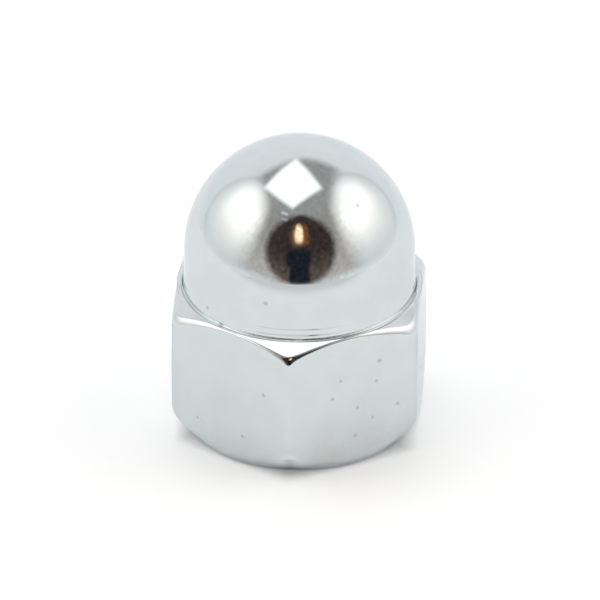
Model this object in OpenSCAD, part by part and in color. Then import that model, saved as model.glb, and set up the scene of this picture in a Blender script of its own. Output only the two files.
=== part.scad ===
// Cap nut (domed nut): a tall hexagon with a chamfered top, a short round neck
// and a half-round dome, forged in one piece, with a blind tapped hole.
// The origin is the centre of the bearing face and +Z points up the axis.
// Two opposite corners of the hexagon lie on the X axis.

/* [Hexagon] */
// Width across the flats, which is the spanner size
across_flats = 10; // [9.9:0.1:13]
// Height of the hexagon, from the bearing face up to the rim of its top chamfer
hex_h = 6.14; // [4:0.02:9]
// Radius of the upright edges, which sets how far the corners reach
edge_r = 0.3; // [0.1:0.05:0.8]
// Slope of the conical chamfer round the top of the hexagon, in degrees
top_slope = 28.5; // [15:0.5:35]

/* [Bearing side] */
// Diameter of the flat ring that the nut bears on
bearing_d = 9.4; // [7.6:0.1:9.6]
// Slope of the conical chamfer round the bearing face, in degrees
base_slope = 50; // [30:1:55]
// Radius that rounds off each lower corner of the hexagon
tip_r = 1.5; // [0.2:0.1:1.8]

/* [Neck and dome] */
// Diameter of the dome and of the top of the neck
dome_d = 9.4; // [8:0.02:9.5]
// Diameter of the neck at its foot, which is a little wider than the dome
foot_d = 9.54; // [9.52:0.02:9.66]
// Length of the neck between the rim of the hexagon's chamfer and the dome
neck_h = 1.51; // [0.4:0.01:3]
// Width of the shallow groove that runs round the foot of the neck
groove_w = 0.15; // [0.05:0.01:0.18]
// Depth of that groove where it meets the neck
groove_h = 0.04; // [0.01:0.01:0.1]

/* [Tapped hole] */
// Diameter of the hole at the crests of its thread
bore_d = 5; // [4:0.1:5.4]
// Depth of the full bore, measured from the bearing face
bore_depth = 9.2; // [6:0.1:9.5]
// Diameter of the countersunk mouth in the bearing face
mouth_d = 6.5; // [5.6:0.1:7.2]
// Full angle of the countersunk mouth, in degrees
mouth_angle = 120; // [90:5:120]
// Full angle of the drill point that closes the hole, in degrees
point_angle = 118; // [90:1:140]

/* [Hidden] */
// Facets of the round forms, and steps in the radius at the lower corners
$fn = 96;
tip_steps = 6;
// How far the forms that cut each other reach past their common edge
past = 1;
half_flats = across_flats / 2;
corner_r = (half_flats - edge_r) / cos(30) + edge_r;
dome_r = dome_d / 2;
dome_z = hex_h + neck_h;
foot_r = foot_d / 2;
rim_r = foot_r + groove_w;
foot_z = hex_h - groove_h;

// Half section of the round form that trims the hexagon: the bearing face, its
// chamfer, the radius at the lower corners, the upright edges, the top chamfer
// and the groove at the foot of the neck
module turned_section() {
    bearing_r = bearing_d / 2;
    arc_x = corner_r - tip_r;
    arc_z = (tip_r + (arc_x - bearing_r) * sin(base_slope)) / cos(base_slope);
    lower_corner = [for (i = [0:tip_steps])
        let (turn = (base_slope - 90) * (1 - i / tip_steps))
        [arc_x + tip_r * cos(turn), arc_z + tip_r * sin(turn)]];
    polygon(concat(
        [[0, 0], [bearing_r, 0]],
        lower_corner,
        [[corner_r, hex_h - (corner_r - rim_r) * tan(top_slope)]],
        [[rim_r, hex_h], [foot_r, foot_z], [0, foot_z]]
    ));
}

// Half section of the tapered neck and the dome, which starts inside the hexagon
module crown_section() {
    root_z = hex_h / 2;
    polygon([[0, root_z], [foot_r, root_z], [foot_r, foot_z], [dome_r, dome_z], [0, dome_z]]);
    translate([0, dome_z]) intersection() {
        circle(dome_r);
        square(dome_r + past);
    }
}

// Half section of the blind hole, from below the mouth up to the drill point
module hole_section() {
    bore_r = bore_d / 2;
    mouth_r = mouth_d / 2;
    mouth_flare = tan(mouth_angle / 2);
    polygon([
        [0, -past],
        [mouth_r + past * mouth_flare, -past],
        [bore_r, (mouth_r - bore_r) / mouth_flare],
        [bore_r, bore_depth],
        [0, bore_depth + bore_r / tan(point_angle / 2)],
    ]);
}

module cap_nut() {
    color("silver") difference() {
        union() {
            intersection() {
                translate([0, 0, -past])
                    cylinder(h = hex_h + 2 * past, d = across_flats / cos(30), $fn = 6);
                rotate_extrude() turned_section();
            }
            rotate_extrude() crown_section();
        }
        rotate_extrude() hole_section();
    }
}

cap_nut();
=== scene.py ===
"""A chrome-plated cap nut standing on a white table inside a light tent."""
import math
import random

import bpy
import numpy as np
from mathutils import Matrix, Vector
from mathutils.bvhtree import BVHTree


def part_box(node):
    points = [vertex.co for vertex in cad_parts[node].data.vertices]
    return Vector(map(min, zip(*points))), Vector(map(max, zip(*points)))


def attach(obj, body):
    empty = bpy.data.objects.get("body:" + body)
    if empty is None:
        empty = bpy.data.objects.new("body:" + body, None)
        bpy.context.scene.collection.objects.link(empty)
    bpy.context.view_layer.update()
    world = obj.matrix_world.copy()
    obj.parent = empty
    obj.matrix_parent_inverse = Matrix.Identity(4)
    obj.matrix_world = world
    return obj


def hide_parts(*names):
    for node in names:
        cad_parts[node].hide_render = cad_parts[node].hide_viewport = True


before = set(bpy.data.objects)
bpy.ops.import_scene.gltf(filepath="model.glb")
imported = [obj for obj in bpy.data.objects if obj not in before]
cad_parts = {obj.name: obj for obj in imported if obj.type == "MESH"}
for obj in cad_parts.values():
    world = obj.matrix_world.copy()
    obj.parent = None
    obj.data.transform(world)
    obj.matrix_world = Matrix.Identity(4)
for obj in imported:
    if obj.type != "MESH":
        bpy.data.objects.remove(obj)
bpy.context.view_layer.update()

MM = 0.001
UP = math.radians(90)

# ---------------------------------------------------------------------------
# Sizes of the nut, in millimetres, as in the part's source
# ---------------------------------------------------------------------------
NODE = "cap_nut"
LOW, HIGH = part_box(NODE)
HALF_FLATS = (HIGH.y - LOW.y) / MM / 2
SECTOR = math.radians(60)
HALF_SECTOR = math.radians(30)
DOME_R = 4.70
DOME_Z = 7.65
FOOT_R = 4.77
FOOT_Z = 6.10
LIP_R = 4.92
LIP_Z = 6.14
TOP_SLOPE = math.radians(28.5)
BEARING_R = 4.70
BASE_SLOPE = math.radians(50)
BORE_R = 2.5
BORE_DEPTH = 9.2
MOUTH_R = 3.25
MOUTH_SLOPE = math.radians(30)
POINT_SLOPE = math.radians(31)
POINT_TOP = BORE_DEPTH + BORE_R * math.tan(POINT_SLOPE)

# Radii of the edges, which the plain solid leaves sharp or simpler. The upright edges grow rounder
# between two heights, and a "tip" is a corner of the hexagon, where an edge is rounded more. Two arcs
# round the top edge, and TIP_TOP_SLOPE is the slope at which they meet.
UPRIGHT_ROUND = 0.3
UPRIGHT_ROUND_TOP = 0.75
ROUND_GROWTH = (3.4, 5.2)
TOP_EDGE_ROUND = 0.12
TIP_EDGE_ROUND = 0.45
TIP_TOP_ROUND = 0.80
TIP_TOP_SLOPE = math.radians(58)
LIP_ROUND = 0.07
NECK_FILLET = 0.05
BASE_EDGE_ROUND = 0.30
TIP_ROUND = 1.5
BEARING_ROUND = 0.10
MOUTH_ROUND = 0.06

# The top of the hexagon is crisp up to the first angle from its front corner, in degrees, and worn
# past the second: radii of the crisp tip, and what the wear adds to other radii or takes off
FRONT_CORNER = math.radians(-60)
WEAR_SPREAD = (30, 50)
CRISP_ROUND_TOP = 0.32
CRISP_TIP_ROUND = 0.66
SOFTER_EDGE = 0.22
SOFTER_LIP = 0.13
CRISPER_FILLET = 0.02
# How steeply the top edge's lower arc widens towards a tip, as a power of the corner's share
CRISP_POWER = 6
WORN_POWER = 3

# Two faint steps that run round the neck, as rise above its foot, width and tilt, highest first, and
# the waves by which they wander, as number round the neck, strength and phase
STEPS = [(0.49, 0.05, math.radians(8.6)), (0.23, 0.07, math.radians(8.0))]
WANDER = [(3, 0.08, 0.4), (7, 0.10, 1.1), (16, 0.09, 2.6), (29, 0.07, 0.8)]

# The M6 thread in the hole. Shares are of half a pitch, from the middle of a crest.
PITCH = 1.0
THREAD_DEPTH = 0.5
THREAD_END = 8.2
CREST_SHARE = 0.12
FLANK_SHARE = 0.74
FLANK_EASE = 0.35

# Rows of the skin: for each pitch of the thread, over the dome, and the height where the hole's rows
# end in the countersink
THREAD_ROWS = 14
DOME_STEPS = 60
MOUTH_TOP = 0.12

# ---------------------------------------------------------------------------
# The camera, from the photograph's 600 x 600 frame; its distance and sensor are in millimetres
# ---------------------------------------------------------------------------
FRAME_PX = 600
CAMERA_AZIMUTH = math.radians(34.7)
CAMERA_ELEVATION = math.radians(30.5)
CAMERA_ROLL = math.radians(-0.05)
CAMERA_DISTANCE = 297.0
CAMERA_CLIP_M = (0.01, 10.0)
PX_PER_MM = 24.64
MM_PER_PX = 1 / PX_PER_MM
SENSOR = 36.0
DOME_CENTRE_PX = (299.65, 248.0)


# ---------------------------------------------------------------------------
# The nut's surface: one closed skin, made of a section for each azimuth
# ---------------------------------------------------------------------------
def clamped(share):
    return min(max(share, 0.0), 1.0)


def eased(share):
    return share * share * (3 - 2 * share)


def hexagon_radius(azimuth, rounding):
    """Distance from the axis to the hexagon's side, with its upright edges rounded."""
    centre = (HALF_FLATS - rounding) / math.cos(HALF_SECTOR)
    from_corner = (azimuth + HALF_SECTOR) % SECTOR - HALF_SECTOR
    along, aside = centre * math.cos(from_corner), centre * math.sin(from_corner)
    on_round = along + math.sqrt(max(rounding**2 - aside**2, 0.0))
    on_flat = HALF_FLATS / math.cos(HALF_SECTOR - abs(from_corner))
    turn = math.atan2(on_round * math.sin(abs(from_corner)), on_round * math.cos(from_corner) - centre)
    return on_round if turn < HALF_SECTOR and abs(aside) < rounding else on_flat


def wear(azimuth):
    """How worn the edges at the top of the hexagon are: 0 by its front corner, 1 further round."""
    from_front = abs((azimuth - FRONT_CORNER + math.pi) % (2 * math.pi) - math.pi)
    crisp, worn = WEAR_SPREAD
    return eased(clamped((math.degrees(from_front) - crisp) / (worn - crisp)))


def upright_round(azimuth, height):
    """Radius of the upright edges, which grow rounder towards the top, least at the front corner."""
    low, high = ROUND_GROWTH
    grown = clamped((height - low) / (high - low))
    at_top = CRISP_ROUND_TOP + (UPRIGHT_ROUND_TOP - CRISP_ROUND_TOP) * wear(azimuth)
    return UPRIGHT_ROUND + (at_top - UPRIGHT_ROUND) * grown * grown * (3 - 2 * grown)


def side_radius(azimuth, height):
    """The hexagon's side at a height, with its upright edges rounded."""
    return hexagon_radius(azimuth, upright_round(azimuth, height))


def corner_share(azimuth, height):
    """How far out the side lies: 0 in the middle of a flat and 1 at a corner."""
    corner = hexagon_radius(0.0, upright_round(azimuth, height))
    return (side_radius(azimuth, height) - HALF_FLATS) / (corner - HALF_FLATS)


def azimuths(per_flat=20, per_edge=10, beside_edge=4):
    """Azimuths of the sections: even steps round each upright edge, beside it and along each flat."""
    def edge_azimuth(rounding, turn):
        centre = (HALF_FLATS - rounding) / math.cos(HALF_SECTOR)
        return np.arctan2(rounding * np.sin(turn), centre + rounding * np.cos(turn))

    edge = edge_azimuth(UPRIGHT_ROUND, np.radians(np.linspace(-30, 30, per_edge + 1)))
    beside_end = edge_azimuth(UPRIGHT_ROUND_TOP, HALF_SECTOR)
    beside = np.linspace(edge[-1], beside_end, beside_edge + 1)[1:]
    reach = HALF_FLATS * math.tan(HALF_SECTOR - beside[-1])
    flat = HALF_SECTOR + np.arctan2(np.linspace(-reach, reach, per_flat + 1)[1:-1], HALF_FLATS)
    sector = np.concatenate([-beside[::-1], edge, beside, flat])
    return np.concatenate([sector + math.radians(60 * i) for i in range(6)])


class Section:
    """A chain of points (radius, height), each with the direction that the outline runs in."""

    def __init__(self):
        self.points, self.headings = [], []

    def add(self, radius, height, heading):
        self.points.append(np.array([radius, height]))
        self.headings.append(heading)

    def line(self, start, end, steps):
        """From start up to, and without, end."""
        start, end = np.array(start, float), np.array(end, float)
        heading = math.atan2(*(end - start)[::-1])
        for k in range(steps):
            self.points.append(start + (end - start) * k / steps)
            self.headings.append(heading)

    def arc(self, hub, radius, first, last, steps):
        """Round hub, from one heading up to, and without, the next; a right turn has first > last."""
        side = math.copysign(1.0, last - first)
        for k in range(steps):
            heading = first + (last - first) * k / steps
            outward = side * np.array([math.sin(heading), -math.cos(heading)])
            self.points.append(np.array(hub) + radius * outward)
            self.headings.append(heading)


def corner_hub(corner, radius, first, last):
    """Centre of the arc that rounds a corner between two headings, and its two ends."""
    corner = np.array(corner, float)
    cut = radius * math.tan(abs(last - first) / 2)
    start = corner - cut * np.array([math.cos(first), math.sin(first)])
    end = corner + cut * np.array([math.cos(last), math.sin(last)])
    side = math.copysign(1.0, last - first)
    hub = start + side * radius * np.array([-math.sin(first), math.cos(first)])
    return hub, start, end


def top_edge(side, share, worn):
    """The two arcs that round the hexagon's top edge, wide below and tight where they meet the cone.

    Gives the height where they start on the side, each arc's radius and last heading, and their end.
    """
    tightest = TOP_EDGE_ROUND + SOFTER_EDGE * worn
    widest = CRISP_TIP_ROUND + (TIP_TOP_ROUND - CRISP_TIP_ROUND) * worn
    lower = tightest + (widest - tightest) * share**(CRISP_POWER + (WORN_POWER - CRISP_POWER) * worn)
    upper = tightest + (TIP_EDGE_ROUND - tightest) * share
    arcs = [(lower, math.pi - TIP_TOP_SLOPE), (upper, math.pi - TOP_SLOPE)]
    end, rise, heading = side, 0.0, UP
    for radius, last in arcs:
        end += radius * (math.sin(last) - math.sin(heading))
        rise += radius * (math.cos(heading) - math.cos(last))
        heading = last
    end_z = LIP_Z - (end - LIP_R) * math.tan(TOP_SLOPE)
    return end_z - rise, arcs, (end, end_z)


def thread_radius(height, azimuth):
    """Radius of the tapped wall: a helical groove that starts in the countersink and fades out."""
    phase = (height / PITCH - azimuth / (2 * math.pi)) % 1.0
    from_crest = abs(2 * phase - 1)
    flank = clamped((from_crest - CREST_SHARE) / FLANK_SHARE)
    groove = eased(flank) * FLANK_EASE + flank * (1 - FLANK_EASE)
    fade_out = clamped((THREAD_END - height) / PITCH)
    deepest = BORE_R + THREAD_DEPTH * groove * fade_out
    countersunk = MOUTH_R - height / math.tan(MOUTH_SLOPE)
    return max(deepest, countersunk)


def hole_section(azimuth, point_steps=6):
    """The blind hole from the tip of its drill point down to the mouth."""
    radii = [BORE_R * k / point_steps for k in range(1, point_steps)]
    cone = [(radius, POINT_TOP - radius * math.tan(POINT_SLOPE)) for radius in radii]
    rows = int((BORE_DEPTH - MOUTH_TOP) / PITCH * THREAD_ROWS)
    heights = np.linspace(BORE_DEPTH, MOUTH_TOP, rows)[:-1]
    wall = [(thread_radius(z, azimuth), z) for z in heights]
    return [np.array(p) for p in cone + wall]


def add_base(section, azimuth):
    """From the mouth over the bearing face and its chamfer; gives the height where the side starts."""
    side = side_radius(azimuth, 0.0)
    tip = BASE_EDGE_ROUND + (TIP_ROUND - BASE_EDGE_ROUND) * corner_share(azimuth, 0.0)
    mouth = corner_hub((MOUTH_R, 0), MOUTH_ROUND, -MOUTH_SLOPE, 0)
    mouth_start = (MOUTH_R - MOUTH_TOP / math.tan(MOUTH_SLOPE), MOUTH_TOP)
    section.line(mouth_start, mouth[1], steps=2)
    section.arc(mouth[0], MOUTH_ROUND, -MOUTH_SLOPE, 0, steps=3)
    bearing = corner_hub((BEARING_R, 0), BEARING_ROUND, 0, BASE_SLOPE)
    section.line(mouth[2], bearing[1], steps=6)
    section.arc(bearing[0], BEARING_ROUND, 0, BASE_SLOPE, steps=5)
    chamfer_end = (side, (side - BEARING_R) * math.tan(BASE_SLOPE))
    base = corner_hub(chamfer_end, tip, BASE_SLOPE, UP)
    section.line(bearing[2], base[1], steps=5)
    section.arc(base[0], tip, BASE_SLOPE, UP, steps=12)
    return base[2][1]


def add_side(section, azimuth, low, steps=24, small=0.01):
    """Up the hexagon's side from a height and over its top edge; gives where the cone starts."""
    top = ROUND_GROWTH[1]
    share = corner_share(azimuth, top)
    start_z, arcs, end = top_edge(side_radius(azimuth, top), share, wear(azimuth))
    for z in np.linspace(low, start_z, steps + 1)[:-1]:
        lean = (side_radius(azimuth, z + small) - side_radius(azimuth, z - small)) / (2 * small)
        section.add(side_radius(azimuth, z), z, UP - math.atan(lean))
    place, heading = np.array([side_radius(azimuth, start_z), start_z]), UP
    for radius, last in arcs:
        hub = place + radius * np.array([-math.sin(heading), math.cos(heading)])
        section.arc(hub, radius, heading, last, steps=9)
        place = hub + radius * np.array([math.sin(last), -math.cos(last)])
        heading = last
    return end


def add_foot(section, azimuth, cone_start):
    """Up the cone, over the lip and into the groove; gives the height where the neck starts."""
    cone = math.pi - TOP_SLOPE
    groove = math.pi + math.atan2(LIP_Z - FOOT_Z, LIP_R - FOOT_R)
    flare_end = UP + math.atan2(2 * (FOOT_R - DOME_R), DOME_Z - FOOT_Z)
    lip_round = LIP_ROUND + SOFTER_LIP * wear(azimuth)
    lip = corner_hub((LIP_R, LIP_Z), lip_round, cone, groove)
    section.line(cone_start, lip[1], steps=8)
    section.arc(lip[0], lip_round, cone, groove, steps=6)
    fillet = NECK_FILLET - CRISPER_FILLET * wear(azimuth)
    foot = corner_hub((FOOT_R, FOOT_Z), fillet, groove, flare_end)
    section.line(lip[2], foot[1], steps=3)
    section.arc(foot[0], fillet, groove, flare_end, steps=6)
    return foot[2][1]


def step_tilt(azimuth, rise):
    """How far the neck's surface leans back at a rise above its foot."""
    strength = 1 + sum(share * math.sin(waves * azimuth + phase) for waves, share, phase in WANDER)
    return strength * sum(tilt * math.exp(-((rise - place) / width)**2) for place, width, tilt in STEPS)


def add_neck(section, azimuth, low, by_steps=32, above_steps=7):
    """Up the neck, which flares towards its foot, with most of its rows where the two steps are."""
    highest, its_width, _ = STEPS[0]
    steps_end = FOOT_Z + highest + 3 * its_width
    heights = list(np.linspace(low, steps_end, by_steps + 1)[1:])
    heights += list(np.linspace(steps_end, DOME_Z, above_steps + 1)[1:-1])
    flare = FOOT_R - DOME_R
    for z in heights:
        below = (DOME_Z - z) / (DOME_Z - FOOT_Z)
        turn = math.atan2(2 * flare * below, DOME_Z - FOOT_Z)
        section.add(DOME_R + flare * below**2, z, UP + turn + step_tilt(azimuth, z - FOOT_Z))


def outer_section(azimuth):
    """The outside, from the mouth over the foot, the hexagon and the neck to the dome's crown."""
    section = Section()
    side_start = add_base(section, azimuth)
    cone_start = add_side(section, azimuth, side_start)
    neck_start = add_foot(section, azimuth, cone_start)
    add_neck(section, azimuth, neck_start)
    section.arc((0, DOME_Z), DOME_R, UP, math.pi, DOME_STEPS)
    return section


def to_space(rz, azimuth):
    return np.stack([rz[..., 0] * np.cos(azimuth), rz[..., 0] * np.sin(azimuth), rz[..., 1]], axis=-1)


def skin_grid(around, small=1e-4):
    """Points and normals of all sections, apart from the drill point and crown, and the hole's rows."""
    def outline(azimuth):
        return np.array(hole_section(azimuth) + outer_section(azimuth).points)

    hole_rows = len(hole_section(0.0))
    rz = np.array([outline(a) for a in around])
    ahead = np.array([outline(a + small) for a in around])
    behind = np.array([outline(a - small) for a in around])
    headings = np.array([outer_section(a).headings for a in around])
    theta = around[:, None]
    points = to_space(rz, theta)
    across = to_space(ahead, theta + small) - to_space(behind, theta - small)
    along = np.empty_like(points)
    along[:, :hole_rows] = to_space(np.gradient(rz[:, :hole_rows], axis=1), theta)
    along[:, hole_rows:] = to_space(np.stack([np.cos(headings), np.sin(headings)], axis=-1), theta)
    normals = np.cross(across, along)
    normals /= np.linalg.norm(normals, axis=-1, keepdims=True)
    return points, normals, hole_rows


def skin_faces(columns, rows, hole_rows):
    """Faces between neighbouring sections, closed at the drill point and at the crown."""
    faces, in_hole = [], []
    point_tip, crown = columns * rows, columns * rows + 1
    for i in range(columns):
        j = (i + 1) % columns
        faces.append((point_tip, j * rows, i * rows))
        in_hole.append(True)
        for k in range(rows - 1):
            faces.append((i * rows + k, j * rows + k, j * rows + k + 1, i * rows + k + 1))
            in_hole.append(k < hole_rows)
        faces.append((crown, i * rows + rows - 1, j * rows + rows - 1))
        in_hole.append(False)
    return faces, in_hole


def build_nut():
    points, normals, hole_rows = skin_grid(azimuths())
    columns, rows = points.shape[:2]
    faces, in_hole = skin_faces(columns, rows, hole_rows)
    vertices = list(points.reshape(-1, 3)) + [(0, 0, POINT_TOP), (0, 0, DOME_Z + DOME_R)]
    vertex_normals = list(normals.reshape(-1, 3)) + [(0, 0, -1), (0, 0, 1)]
    mesh = bpy.data.meshes.new("cap_nut_skin")
    mesh.from_pydata([Vector(v) * MM for v in vertices], [], faces)
    mesh.polygons.foreach_set("use_smooth", [True] * len(faces))
    mesh.normals_split_custom_set_from_vertices([Vector(n) for n in vertex_normals])
    mesh.polygons.foreach_set("material_index", [int(h) for h in in_hole])
    mesh.update()
    skin = bpy.data.objects.new("plated_skin", mesh)
    bpy.context.scene.collection.objects.link(skin)
    return skin


# ---------------------------------------------------------------------------
# Node helpers
# ---------------------------------------------------------------------------
class Nodes:
    """Builds a node tree with short calls; a number or a socket goes in either way."""

    def __init__(self, tree):
        self.tree = tree
        tree.nodes.clear()

    def add(self, kind, **settings):
        node = self.tree.nodes.new(kind)
        for name, value in settings.items():
            setattr(node, name, value)
        return node

    def put(self, socket, value):
        if isinstance(value, bpy.types.NodeSocket):
            self.tree.links.new(value, socket)
        else:
            socket.default_value = value

    def math(self, operation, *values):
        node = self.add("ShaderNodeMath", operation=operation)
        for socket, value in zip(node.inputs, values):
            self.put(socket, value)
        return node.outputs[0]

    def product(self, first, *others):
        for other in others:
            first = self.math("MULTIPLY", first, other)
        return first

    def measure(self, operation, *vectors):
        """A number from one vector or two, such as LENGTH, DISTANCE or DOT_PRODUCT."""
        node = self.add("ShaderNodeVectorMath", operation=operation)
        for socket, vector in zip(node.inputs, vectors):
            self.put(socket, vector)
        return node.outputs["Value"]

    def dot(self, vector, direction):
        return self.measure("DOT_PRODUCT", vector, direction)

    def ramp(self, value, low, high, to_low=0.0, to_high=1.0, smooth=True):
        kind = "SMOOTHSTEP" if smooth else "LINEAR"
        node = self.add("ShaderNodeMapRange", interpolation_type=kind)
        for socket, number in zip(node.inputs, (value, low, high, to_low, to_high)):
            self.put(socket, number)
        return node.outputs[0]

    def ramp_mm(self, value, span, to_low=0.0, to_high=1.0, smooth=True):
        """A ramp over a span that is given in millimetres."""
        return self.ramp(value, span[0] * MM, span[1] * MM, to_low, to_high, smooth)

    def noise(self, vector, scale, detail=2.0):
        node = self.add("ShaderNodeTexNoise")
        self.put(node.inputs["Vector"], vector)
        node.inputs["Scale"].default_value = scale
        node.inputs["Detail"].default_value = detail
        return node.outputs["Fac"]

    def scale(self, colour, factor):
        node = self.add("ShaderNodeVectorMath", operation="SCALE")
        self.put(node.inputs[0], colour)
        self.put(node.inputs["Scale"], factor)
        return node.outputs[0]

    def mix(self, share, first, second):
        node = self.add("ShaderNodeMix", data_type="RGBA")
        self.put(node.inputs["Factor"], share)
        self.put(node.inputs[6], first)
        self.put(node.inputs[7], second)
        return node.outputs[2]

    def mix_shaders(self, share, first, second):
        node = self.add("ShaderNodeMixShader")
        for socket, value in zip(node.inputs, (share, first, second)):
            self.put(socket, value)
        return node.outputs[0]

    def finish(self, shader, kind="ShaderNodeOutputMaterial"):
        self.put(self.add(kind).inputs["Surface"], shader)


def grey(level, tint=(1.0, 1.0, 1.0)):
    return (level * tint[0], level * tint[1], level * tint[2], 1.0)


# ---------------------------------------------------------------------------
# The light tent, as directions seen from the nut, in degrees. Places are (azimuth, elevation), and
# patches are (azimuth, elevation, half width, half height). A FADE gives the measure at which a
# thing isn't there yet, and the one at which it is, or would be, there in full.
# ---------------------------------------------------------------------------
WHITE = (1.0, 1.0, 1.0, 1.0)
BLACK = (0.0, 0.0, 0.0, 1.0)

# The cloth walls: their brightness beside the nut, and how much less it is towards the camera
WALL_LEVEL = 0.86
WALL_FALL = 0.15
LOW_WALL = (0.97, 1.0, 1.02, 1.0)
LOW_WALL_FADE = (35.0, 5.0)

# The shaded cloth round the opening, by the angle from the opening's axis, and brighter low down
FRONT_FADE = (75.0, 44.0)
FRONT_HIGH = 0.347
FRONT_LOW = 0.56
FRONT_LOW_FADE = (60.0, 5.0)
FRONT_WARMTH = (1.08, 1.0, 0.95)

# The bright panel in the roof and the shade round it, as four corners, and how far each edge that
# follows a corner bends off a straight one. The depth inside either is the sine of an angle.
ROOF_PANEL = [(-176.7, 50.0), (-110.0, 59.4), (-18, 68.8), (104.3, 70.6)]
PANEL_BENDS = (-26, 26, 15, -26)
PANEL_ROUNDING = 0.03
PANEL_FADE = (-0.045, 0.05)
PANEL_LEVEL = 1.6
ROOF_FRAME = [(178, 48.2), (-131.4, 48.5), (0, 15), (141.2, 43.8)]
FRAME_BENDS = (-27, 0, 0, 27)
FRAME_ROUNDING = 0.05
FRAME_FADE = (-0.08, 0.13)
FRAME_HEIGHT_FADE = (25.0, 45.0)
FRAME_LEVEL = 0.40
FRAME_WARMTH = (1.03, 1.0, 0.97)

# The side lights, brighter high up, and the darker seam round each, by the patch's size measure
LEFT_BOX = (-86.9, 30.0, 42.9, 35.5)
RIGHT_BOX = (89.9, 30.0, 45.7, 35.5)
BOX_FADE = (0.92, -0.68)
BOX_LOW = 1.25
BOX_HIGH = 2.47
BOX_HIGH_FADE = (6.0, 45.0)
BOX_WARMTH = (1.05, 1.0, 0.95)
SEAM_OUTER_FADE = (1.35, 1.05)
SEAM_INNER_FADE = (0.7, 1.0)
SEAM_DEPTH = 0.17
SEAM_LEVEL = 0.30

# The floor of the tent, which is darker by the opening
FLOOR_FADE = (2.0, -8.0)
FLOOR_LEVEL = 1.02
FLOOR_BY_OPENING = 0.80
BY_OPENING_FADE = (52.0, 42.0)
FLOOR_TINT = (0.98, 1.0, 1.02)

# The dark opening with the arch above it, a stand and a plain dark patch in it, and a warm window
OPENING_AXIS = (1.2, 26.8)
OPENING_FADE = (39.6, 30.6)
HOOD_AXIS = (3.0, 48.0)
HOOD_FADE = (17.5, 12.5)
OPENING_TOP = (0.049, 0.038, 0.035, 1.0)
OPENING_LOW = (0.127, 0.093, 0.074, 1.0)
OPENING_LOW_FADE = (30.0, 2.0)
STAND = (0.0, 3.0, 12.2, 22.0)
DARK_PATCH = (-1.1, 19.5, 16.0, 11.5)
STAND_FADE = (0.9, 0.2)
STAND_COLOUR = (0.016, 0.021, 0.029, 1.0)
WINDOW_GLOW = (0.8, 43.0, 14.5, 13.5)
GLOW_FADE = (1.0, -0.3)
GLOW_COLOUR = (0.34, 0.115, 0.025, 1.0)
WINDOW_CORE = (-0.8, 43.8, 6.6, 11.2)
CORE_FADE = (1.0, -0.2)
CORE_COLOUR = (2.2, 1.6, 1.05, 1.0)

# Two pale creases in the cloth above the opening, each with its brightness
CREASES = [((-31.0, 61.8, 9.0, 1.8), 0.80), ((-27.0, 56.3, 8.0, 1.6), 0.55)]
CREASE_FADE = (1.0, 0.0)

# Uneven brightness: how much of it the shaded cloth has, and how much the opening has
GRAIN = 0.22
MOTTLE = 0.5
GRAIN_SCALE = 15.0
GRAIN_DETAIL = 3.0
GRAIN_SPREAD = (0.3, 0.7)
GRAIN_FADE = (70.0, 50.0)


def direction(azimuth, elevation):
    """Unit vector; azimuth 0 is towards the camera and grows to the right, both in degrees."""
    turned = CAMERA_AZIMUTH + math.radians(azimuth)
    rise = math.radians(elevation)
    return Vector((math.sin(turned) * math.cos(rise), -math.cos(turned) * math.cos(rise), math.sin(rise)))


class Sky:
    """The direction that light comes from, as a vector and as angles in degrees."""

    def __init__(self, nodes):
        self.nodes = nodes
        self.ray = nodes.add("ShaderNodeTexCoord").outputs["Generated"]
        rightward = nodes.dot(self.ray, direction(90, 0))
        self.towards = nodes.dot(self.ray, direction(0, 0))
        upward = nodes.dot(self.ray, Vector((0, 0, 1)))
        self.azimuth = nodes.math("DEGREES", nodes.math("ARCTAN2", rightward, self.towards))
        self.elevation = nodes.math("DEGREES", nodes.math("ARCSINE", upward))
        self.off_opening = self.off(OPENING_AXIS)

    def off(self, axis):
        """Angle from an axis."""
        along = self.nodes.dot(self.ray, direction(*axis))
        return self.nodes.math("DEGREES", self.nodes.math("ARCCOSINE", along))

    def panel_depth(self, corners, bends, rounding):
        """How far the direction lies inside a four-cornered panel, as the sine of an angle."""
        depth = None
        for i, bend in enumerate(bends):
            first, second, third = (direction(*corners[(i + k) % 4]) for k in range(3))
            edge = first.cross(second).normalized()
            if edge.dot(third) < 0:
                edge = -edge
            middle = (first + second).normalized()
            edge = edge * math.cos(math.radians(bend)) + middle * math.sin(math.radians(bend))
            inside = self.nodes.math("SUBTRACT", self.nodes.dot(self.ray, edge), edge.dot(first))
            depth = inside if depth is None else self.nodes.math("SMOOTH_MIN", depth, inside, rounding)
        return depth

    def patch_size(self, patch, power=3.0):
        """Size measure of a rounded patch: 0 at its middle and 1 on its outline."""
        size = None
        angles = (self.azimuth, self.elevation)
        for angle, centre, reach in zip(angles, patch[:2], patch[2:]):
            share = self.nodes.math("DIVIDE", self.nodes.math("SUBTRACT", angle, centre), reach)
            term = self.nodes.math("POWER", self.nodes.math("ABSOLUTE", share), power)
            size = term if size is None else self.nodes.math("ADD", size, term)
        return size

    def soft_spot(self, patch, fade):
        """Mask of a rounded patch, by its size measure."""
        return self.nodes.ramp(self.patch_size(patch), *fade)


def cloth_walls(nodes, sky):
    """The walls, and the shaded cloth round the opening."""
    level = nodes.math("SUBTRACT", WALL_LEVEL, nodes.math("MULTIPLY", sky.towards, WALL_FALL))
    colour = nodes.mix(nodes.ramp(sky.elevation, *LOW_WALL_FADE), WHITE, LOW_WALL)
    walls = nodes.mix(level, BLACK, colour)
    low_down = nodes.ramp(sky.elevation, *FRONT_LOW_FADE)
    front = nodes.mix(low_down, grey(FRONT_HIGH, FRONT_WARMTH), grey(FRONT_LOW, FRONT_WARMTH))
    return nodes.mix(nodes.ramp(sky.off_opening, *FRONT_FADE), walls, front)


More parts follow.
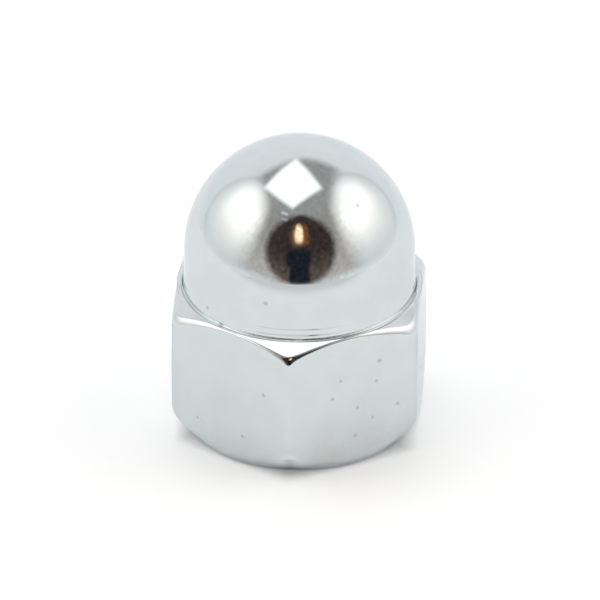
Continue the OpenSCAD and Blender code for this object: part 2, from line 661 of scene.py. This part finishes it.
def roof_shade(nodes, sky):
    """Mask of the shade round the bright panel."""
    depth = sky.panel_depth(ROOF_FRAME, FRAME_BENDS, FRAME_ROUNDING)
    high_up = nodes.ramp(sky.elevation, *FRAME_HEIGHT_FADE)
    return nodes.product(nodes.ramp(depth, *FRAME_FADE), high_up)


def add_side_lights(nodes, sky, tent):
    high_up = nodes.ramp(sky.elevation, *BOX_HIGH_FADE)
    glow = nodes.mix(high_up, grey(BOX_LOW, BOX_WARMTH), grey(BOX_HIGH, BOX_WARMTH))
    size = nodes.math("MINIMUM", sky.patch_size(LEFT_BOX), sky.patch_size(RIGHT_BOX))
    outside = nodes.ramp(size, *SEAM_OUTER_FADE)
    seam = nodes.product(outside, nodes.ramp(size, *SEAM_INNER_FADE, 0.0, SEAM_DEPTH))
    tent = nodes.mix(seam, tent, grey(SEAM_LEVEL, FRAME_WARMTH))
    return nodes.mix(nodes.ramp(size, *BOX_FADE), tent, glow)


def add_floor(nodes, sky, tent):
    by_opening = nodes.ramp(sky.off_opening, *BY_OPENING_FADE)
    floor = nodes.mix(by_opening, grey(FLOOR_LEVEL, FLOOR_TINT), grey(FLOOR_BY_OPENING, FLOOR_TINT))
    return nodes.mix(nodes.ramp(sky.elevation, *FLOOR_FADE), tent, floor)


def dark_room(nodes, sky):
    """What shows through the opening."""
    room = nodes.mix(nodes.ramp(sky.elevation, *OPENING_LOW_FADE), OPENING_TOP, OPENING_LOW)
    for patch in (STAND, DARK_PATCH):
        room = nodes.mix(sky.soft_spot(patch, STAND_FADE), room, STAND_COLOUR)
    room = nodes.mix(sky.soft_spot(WINDOW_GLOW, GLOW_FADE), room, GLOW_COLOUR)
    return nodes.mix(sky.soft_spot(WINDOW_CORE, CORE_FADE), room, CORE_COLOUR)


def unevenness(nodes, sky, shade, panel, opening):
    """Factor of the brightness: uneven on the shaded cloth, apart from the panel, and in the opening."""
    noise = nodes.noise(sky.ray, GRAIN_SCALE, GRAIN_DETAIL)
    speckle = nodes.math("MULTIPLY", nodes.ramp(noise, *GRAIN_SPREAD, -0.5, 0.5), GRAIN)
    shaded = nodes.math("MAXIMUM", nodes.ramp(sky.off_opening, *GRAIN_FADE), shade)
    shaded = nodes.math("MULTIPLY", shaded, nodes.math("SUBTRACT", 1.0, panel))
    mottled = nodes.math("MULTIPLY", opening, MOTTLE / GRAIN)
    return nodes.math("ADD", 1.0, nodes.math("MULTIPLY", speckle, nodes.math("ADD", shaded, mottled)))


def tent_colour(nodes, sky):
    """All that the nut mirrors above the table."""
    shade = roof_shade(nodes, sky)
    tent = nodes.mix(shade, cloth_walls(nodes, sky), grey(FRAME_LEVEL, FRAME_WARMTH))
    tent = add_side_lights(nodes, sky, tent)
    panel = nodes.ramp(sky.panel_depth(ROOF_PANEL, PANEL_BENDS, PANEL_ROUNDING), *PANEL_FADE)
    tent = nodes.mix(panel, tent, grey(PANEL_LEVEL))
    tent = add_floor(nodes, sky, tent)
    opening = nodes.ramp(sky.off_opening, *OPENING_FADE)
    hood = nodes.ramp(sky.off(HOOD_AXIS), *HOOD_FADE)
    tent = nodes.mix(nodes.math("MAXIMUM", opening, hood), tent, dark_room(nodes, sky))
    for patch, level in CREASES:
        tent = nodes.mix(sky.soft_spot(patch, CREASE_FADE), tent, grey(level))
    return nodes.scale(tent, unevenness(nodes, sky, shade, panel, opening))


def light_tent():
    """The world: the tent for the nut and the table, and plain white for the camera."""
    world = bpy.data.worlds.new("light_tent")
    bpy.context.scene.world = world
    world.use_nodes = True
    nodes = Nodes(world.node_tree)
    studio = nodes.add("ShaderNodeBackground")
    nodes.put(studio.inputs["Color"], tent_colour(nodes, Sky(nodes)))
    backdrop = nodes.add("ShaderNodeBackground")
    nodes.put(backdrop.inputs["Color"], WHITE)
    seen = nodes.add("ShaderNodeLightPath").outputs["Is Camera Ray"]
    both = nodes.mix_shaders(seen, studio.outputs[0], backdrop.outputs[0])
    nodes.finish(both, "ShaderNodeOutputWorld")


# ---------------------------------------------------------------------------
# Materials of the nut; distances are in millimetres, and scales of noise are per metre
# ---------------------------------------------------------------------------
CHROME_DARKER = (0.645, 0.69, 0.695, 1)
CHROME_LIGHTER = (0.665, 0.71, 0.715, 1)
EDGE_TINT = (0.90, 0.92, 0.93, 1.0)
SMUDGE_SCALE = 900.0
SMUDGE_DETAIL = 4.0
TONE_SPREAD = (0.35, 0.65)
GLOSS_SPREAD = (0.3, 0.7)
ROUGHNESS = (0.05, 0.10)
SWELL_SCALE = 700.0
SWELL_HEIGHT = 0.0018

# A patchy darker tone low on the flats, which is missing round one place, given as a pixel
LOW_PATCH_COLOUR = (0.59, 0.62, 0.61, 1.0)
LOW_PATCH_SCALE = 420.0
LOW_PATCH_DETAIL = 5.0
LOW_PATCH_SPREAD = (0.42, 0.68)
LOW_PATCH_HEIGHTS = (4.0, 0.5)
SPARED_PIXEL = (262, 434)
SPARED_REACH = (0.7, 2.4)

# Pits: where the photograph shows them, as pixels of its frame, and some on the sides it doesn't show,
# at heights and at azimuths in degrees from the camera's, found by rays that start past the nut
PIT_PIXELS = [
    (265, 303), (357, 205), (197, 417), (242, 436), (263, 395), (207, 307), (379, 360), (376, 380),
    (340, 381), (332, 399), (397, 403), (357, 407), (372, 417), (355, 435), (220, 324), (221, 324),
]
PIT_RADIUS = (0.10, 0.15)
PIT_MIDDLE = 0.25
PIT_COLOUR = (0.50, 0.53, 0.535, 1.0)
PIT_ROUGHNESS = 0.3
PIT_DEPTH = 0.004
HIDDEN_PITS = 24
HIDDEN_AZIMUTHS = (65, 295)
HIDDEN_HEIGHTS = (0.8, 5.4)
PIT_SEED = 11
PAST_NUT = 20

STEEL_DARKER = (0.36, 0.35, 0.34, 1)
STEEL_LIGHTER = (0.5, 0.49, 0.48, 1)
STEEL_GRAIN = 2500.0
STEEL_ROUGHNESS = (0.25, 0.4)


def new_material(name):
    material = bpy.data.materials.new(name)
    material.use_nodes = True
    return material, Nodes(material.node_tree)


def metal_shader(nodes):
    shader = nodes.add("ShaderNodeBsdfPrincipled")
    shader.inputs["Metallic"].default_value = 1.0
    return shader


def skin_tree(skin):
    corners = [vertex.co for vertex in skin.data.vertices]
    return BVHTree.FromPolygons(corners, [face.vertices[:] for face in skin.data.polygons])


def shown_place(tree, camera, pixel):
    """Place on the nut that a pixel of the photograph's frame shows."""
    turned = camera.matrix_world.to_3x3()
    aside = (pixel[0] + 0.5 - FRAME_PX / 2) / FRAME_PX * SENSOR
    above = (FRAME_PX / 2 - pixel[1] - 0.5) / FRAME_PX * SENSOR
    ahead = turned @ Vector((aside, above, -camera.data.lens))
    return tree.ray_cast(camera.matrix_world.translation, ahead.normalized())[0]


def pit_places(tree, camera):
    """Where the plating has pits, each with its radius."""
    places = [shown_place(tree, camera, pixel) for pixel in PIT_PIXELS]
    chance = random.Random(PIT_SEED)
    for _ in range(HIDDEN_PITS):
        azimuth = CAMERA_AZIMUTH + math.radians(chance.uniform(*HIDDEN_AZIMUTHS))
        outward = Vector((math.sin(azimuth), -math.cos(azimuth), 0.0))
        height = Vector((0, 0, chance.uniform(*HIDDEN_HEIGHTS) * MM))
        places.append(tree.ray_cast(height + outward * PAST_NUT * MM, -outward)[0])
    return [(place, chance.uniform(*PIT_RADIUS)) for place in places if place is not None]


def pit_mask(nodes, place, pits):
    """Mask of the pits, in full from a share of each radius inwards."""
    mask = None
    for centre, radius in pits:
        away = nodes.measure("DISTANCE", place, centre)
        dark = nodes.ramp_mm(away, (radius, PIT_MIDDLE * radius))
        mask = dark if mask is None else nodes.math("MAXIMUM", mask, dark)
    return mask


def low_patch_mask(nodes, place, spared_place):
    # Mask of the darker tone: in patches, only low on the flats, and not round one place
    patchy = nodes.ramp(nodes.noise(place, LOW_PATCH_SCALE, LOW_PATCH_DETAIL), *LOW_PATCH_SPREAD)
    low_down = nodes.ramp_mm(nodes.dot(place, Vector((0, 0, 1))), LOW_PATCH_HEIGHTS)
    off_spared = nodes.ramp_mm(nodes.measure("DISTANCE", place, spared_place), SPARED_REACH)
    return nodes.product(patchy, low_down, off_spared)


def chrome_plate(pits, spared_place):
    """Bright plating on a faintly uneven surface, darker in patches low on the flats, with a few tiny
    pits.
    """
    material, nodes = new_material("chrome_plate")
    shader = metal_shader(nodes)
    shader.inputs["Specular Tint"].default_value = EDGE_TINT
    place = nodes.add("ShaderNodeTexCoord").outputs["Object"]
    smudge = nodes.noise(place, SMUDGE_SCALE, SMUDGE_DETAIL)
    bright = nodes.mix(nodes.ramp(smudge, *TONE_SPREAD), CHROME_DARKER, CHROME_LIGHTER)
    # Darker base colour in patches towards the bottom of the flats, apart from round one place
    bright = nodes.mix(low_patch_mask(nodes, place, spared_place), bright, LOW_PATCH_COLOUR)
    mask = pit_mask(nodes, place, pits)
    nodes.put(shader.inputs["Base Color"], nodes.mix(mask, bright, PIT_COLOUR))
    gloss = nodes.ramp(smudge, *GLOSS_SPREAD, *ROUGHNESS)
    rough = nodes.math("ADD", gloss, nodes.math("MULTIPLY", mask, PIT_ROUGHNESS))
    nodes.put(shader.inputs["Roughness"], rough)
    swell = nodes.math("MULTIPLY", nodes.noise(place, SWELL_SCALE), SWELL_HEIGHT)
    relief = nodes.math("SUBTRACT", swell, nodes.math("MULTIPLY", mask, PIT_DEPTH))
    bump = nodes.add("ShaderNodeBump")
    bump.inputs["Strength"].default_value = 1.0
    bump.inputs["Distance"].default_value = MM
    nodes.put(bump.inputs["Height"], relief)
    nodes.put(shader.inputs["Normal"], bump.outputs["Normal"])
    nodes.finish(shader.outputs[0])
    return material


def tapped_steel():
    """The bare metal of the hole."""
    material, nodes = new_material("tapped_steel")
    shader = metal_shader(nodes)
    grain = nodes.noise(nodes.add("ShaderNodeTexCoord").outputs["Object"], STEEL_GRAIN)
    nodes.put(shader.inputs["Base Color"], nodes.mix(grain, STEEL_DARKER, STEEL_LIGHTER))
    nodes.put(shader.inputs["Roughness"], nodes.ramp(grain, *GLOSS_SPREAD, *STEEL_ROUGHNESS))
    nodes.finish(shader.outputs[0])
    return material


# ---------------------------------------------------------------------------
# The table: a flat ring, open under the nut's bearing face; distances are in millimetres
# ---------------------------------------------------------------------------
TABLE_HOLE = 4.4
TABLE_MIDDLE = 40.0
TABLE_REACH = 80.0
TABLE_GAP = 0.01
TABLE_STEPS = 96
TABLE_COLOUR = (0.905, 0.92, 0.935, 1.0)

# What lifts the matt white to plain white for the camera. It starts where the contact shadow ends,
# a little further in beside the nut than before it.
SEEN_LIFT = 0.27
SEEN_TINT = (0.99, 1.0, 1.01)
CLEAR_OF_NUT = (4.35, 5.05)
CONTACT_RING = (4.70, 4.90)
BESIDE = (2.2, 4.4)
BESIDE_SHIFT = 0.08

# What lifts it in the chrome's mirror image. It fades out far in front, and is less behind the nut.
GLOSS_LIFT = 0.225
GLOSS_TINT = (0.97, 1.0, 1.03)
GLOSS_CLEAR = (4.1, 4.7)
FAR_IN_FRONT = (24.0, 48.0)
BEHIND = (0.0, -4.0)
BEHIND_REACH = (14.0, 10.0)
BEHIND_SHADE = 0.12

# More of it under the front corner: a wide glow and a rim by the bearing face
CORNER_SECTOR = (0.15, 0.60)
CORNER_FRONT = (3.6, 4.4)
CORNER_REACH = (6.6, 5.2)
CORNER_LIFT = 0.20
RIM_REACH = (5.14, 4.93)
RIM_LIFT = 0.34
RIM_INNER = (4.77, 4.90)


def distance_over_flats(nodes, place):
    """Distance from the axis, measured square to the nearest flat of the nut."""
    farthest = None
    for k in range(3):
        normal = Vector((math.sin(SECTOR * k), math.cos(SECTOR * k), 0))
        reach = nodes.math("ABSOLUTE", nodes.dot(place, normal))
        farthest = reach if farthest is None else nodes.math("MAXIMUM", farthest, reach)
    return farthest


def seen_lift(nodes, seen, over_flats, away, forward):
    """Strength of the lift that the camera sees."""
    shift = nodes.ramp_mm(forward, BESIDE, BESIDE_SHIFT * MM, 0.0)
    clear = nodes.ramp_mm(nodes.math("ADD", over_flats, shift), CLEAR_OF_NUT, smooth=False)
    clear = nodes.product(clear, nodes.ramp_mm(away, CONTACT_RING))
    return nodes.product(seen, SEEN_LIFT, clear)


def corner_lift(nodes, over_flats, away, forward):
    """What is added to the mirrored lift under the front corner."""
    sector = nodes.ramp_mm(nodes.math("SUBTRACT", away, over_flats), CORNER_SECTOR)
    wide = nodes.ramp_mm(away, CORNER_REACH, 0.0, CORNER_LIFT)
    near = nodes.math("ADD", wide, nodes.ramp_mm(away, RIM_REACH, 0.0, RIM_LIFT))
    past_rim = nodes.ramp_mm(away, RIM_INNER)
    return nodes.product(sector, near, past_rim, nodes.ramp_mm(forward, CORNER_FRONT))


def mirrored_lift(nodes, mirrored, over_flats, away, forward):
    """Strength of the lift in the chrome's mirror image."""
    level = nodes.ramp_mm(forward, FAR_IN_FRONT, GLOSS_LIFT, 0.0)
    behind = nodes.product(nodes.ramp_mm(forward, BEHIND), nodes.ramp_mm(away, BEHIND_REACH))
    level = nodes.math("SUBTRACT", level, nodes.math("MULTIPLY", behind, BEHIND_SHADE))
    level = nodes.math("ADD", level, corner_lift(nodes, over_flats, away, forward))
    return nodes.product(mirrored, level, nodes.ramp_mm(over_flats, GLOSS_CLEAR, smooth=False))


def table_lift(nodes):
    """The light that the table adds: one for the camera, and one for the chrome's mirror image."""
    path = nodes.add("ShaderNodeLightPath").outputs
    seen = nodes.math("MAXIMUM", path["Is Camera Ray"], path["Is Transmission Ray"])
    mirrored = path["Is Glossy Ray"]
    place = nodes.add("ShaderNodeTexCoord").outputs["Object"]
    forward = nodes.dot(place, direction(0, 0))
    where = (distance_over_flats(nodes, place), nodes.measure("LENGTH", place), forward)
    plain = seen_lift(nodes, seen, *where)
    lift = nodes.add("ShaderNodeEmission")
    nodes.put(lift.inputs["Strength"], nodes.math("ADD", plain, mirrored_lift(nodes, mirrored, *where)))
    nodes.put(lift.inputs["Color"], nodes.mix(mirrored, grey(1.0, SEEN_TINT), grey(1.0, GLOSS_TINT)))
    return lift.outputs[0]


def white_table():
    """Matt white, lifted to plain white for the camera and for the chrome; clear from below."""
    material, nodes = new_material("white_table")
    matt = nodes.add("ShaderNodeBsdfDiffuse")
    matt.inputs["Color"].default_value = TABLE_COLOUR
    lit = nodes.add("ShaderNodeAddShader")
    nodes.put(lit.inputs[0], matt.outputs[0])
    nodes.put(lit.inputs[1], table_lift(nodes))
    clear = nodes.add("ShaderNodeBsdfTransparent")
    from_below = nodes.add("ShaderNodeNewGeometry").outputs["Backfacing"]
    nodes.finish(nodes.mix_shaders(from_below, lit.outputs[0], clear.outputs[0]))
    return material


def build_table():
    rings = (TABLE_HOLE, TABLE_MIDDLE, TABLE_REACH)
    turns = [2 * math.pi * i / TABLE_STEPS for i in range(TABLE_STEPS)]
    vertices = [Vector((r * math.cos(t), r * math.sin(t), -TABLE_GAP)) * MM for r in rings for t in turns]
    faces = []
    for ring in range(len(rings) - 1):
        inner, outer = ring * TABLE_STEPS, (ring + 1) * TABLE_STEPS
        for i in range(TABLE_STEPS):
            j = (i + 1) % TABLE_STEPS
            faces.append((inner + i, outer + i, outer + j, inner + j))
    mesh = bpy.data.meshes.new("table")
    mesh.from_pydata(vertices, [], faces)
    mesh.materials.append(white_table())
    table = bpy.data.objects.new("table", mesh)
    bpy.context.scene.collection.objects.link(table)


# ---------------------------------------------------------------------------
# The camera
# ---------------------------------------------------------------------------
def place_camera():
    """At the photograph's viewing angle, with the dome's centre on its pixel."""
    data = bpy.data.cameras.new("camera")
    data.sensor_width = SENSOR
    data.lens = PX_PER_MM * CAMERA_DISTANCE / FRAME_PX * SENSOR
    data.clip_start, data.clip_end = CAMERA_CLIP_M
    camera = bpy.data.objects.new("camera", data)
    bpy.context.scene.collection.objects.link(camera)
    back = direction(0, math.degrees(CAMERA_ELEVATION))
    right = direction(90, 0)
    up = back.cross(right)
    aside = (DOME_CENTRE_PX[0] - FRAME_PX / 2) * MM_PER_PX
    above = (FRAME_PX / 2 - DOME_CENTRE_PX[1]) * MM_PER_PX
    place = Vector((0, 0, DOME_Z)) + back * CAMERA_DISTANCE - right * aside - up * above
    turned = Matrix((right, up, back)).transposed() @ Matrix.Rotation(CAMERA_ROLL, 3, "Z")
    camera.matrix_world = Matrix.Translation(place * MM) @ turned.to_4x4()
    bpy.context.scene.camera = camera
    bpy.context.view_layer.update()
    return camera


camera = place_camera()
bpy.context.scene.view_settings.view_transform = "Standard"
light_tent()
build_table()
skin = build_nut()
tree = skin_tree(skin)
spared_place = shown_place(tree, camera, SPARED_PIXEL)
skin.data.materials.append(chrome_plate(pit_places(tree, camera), spared_place))
skin.data.materials.append(tapped_steel())
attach(skin, "root")
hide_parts(NODE)
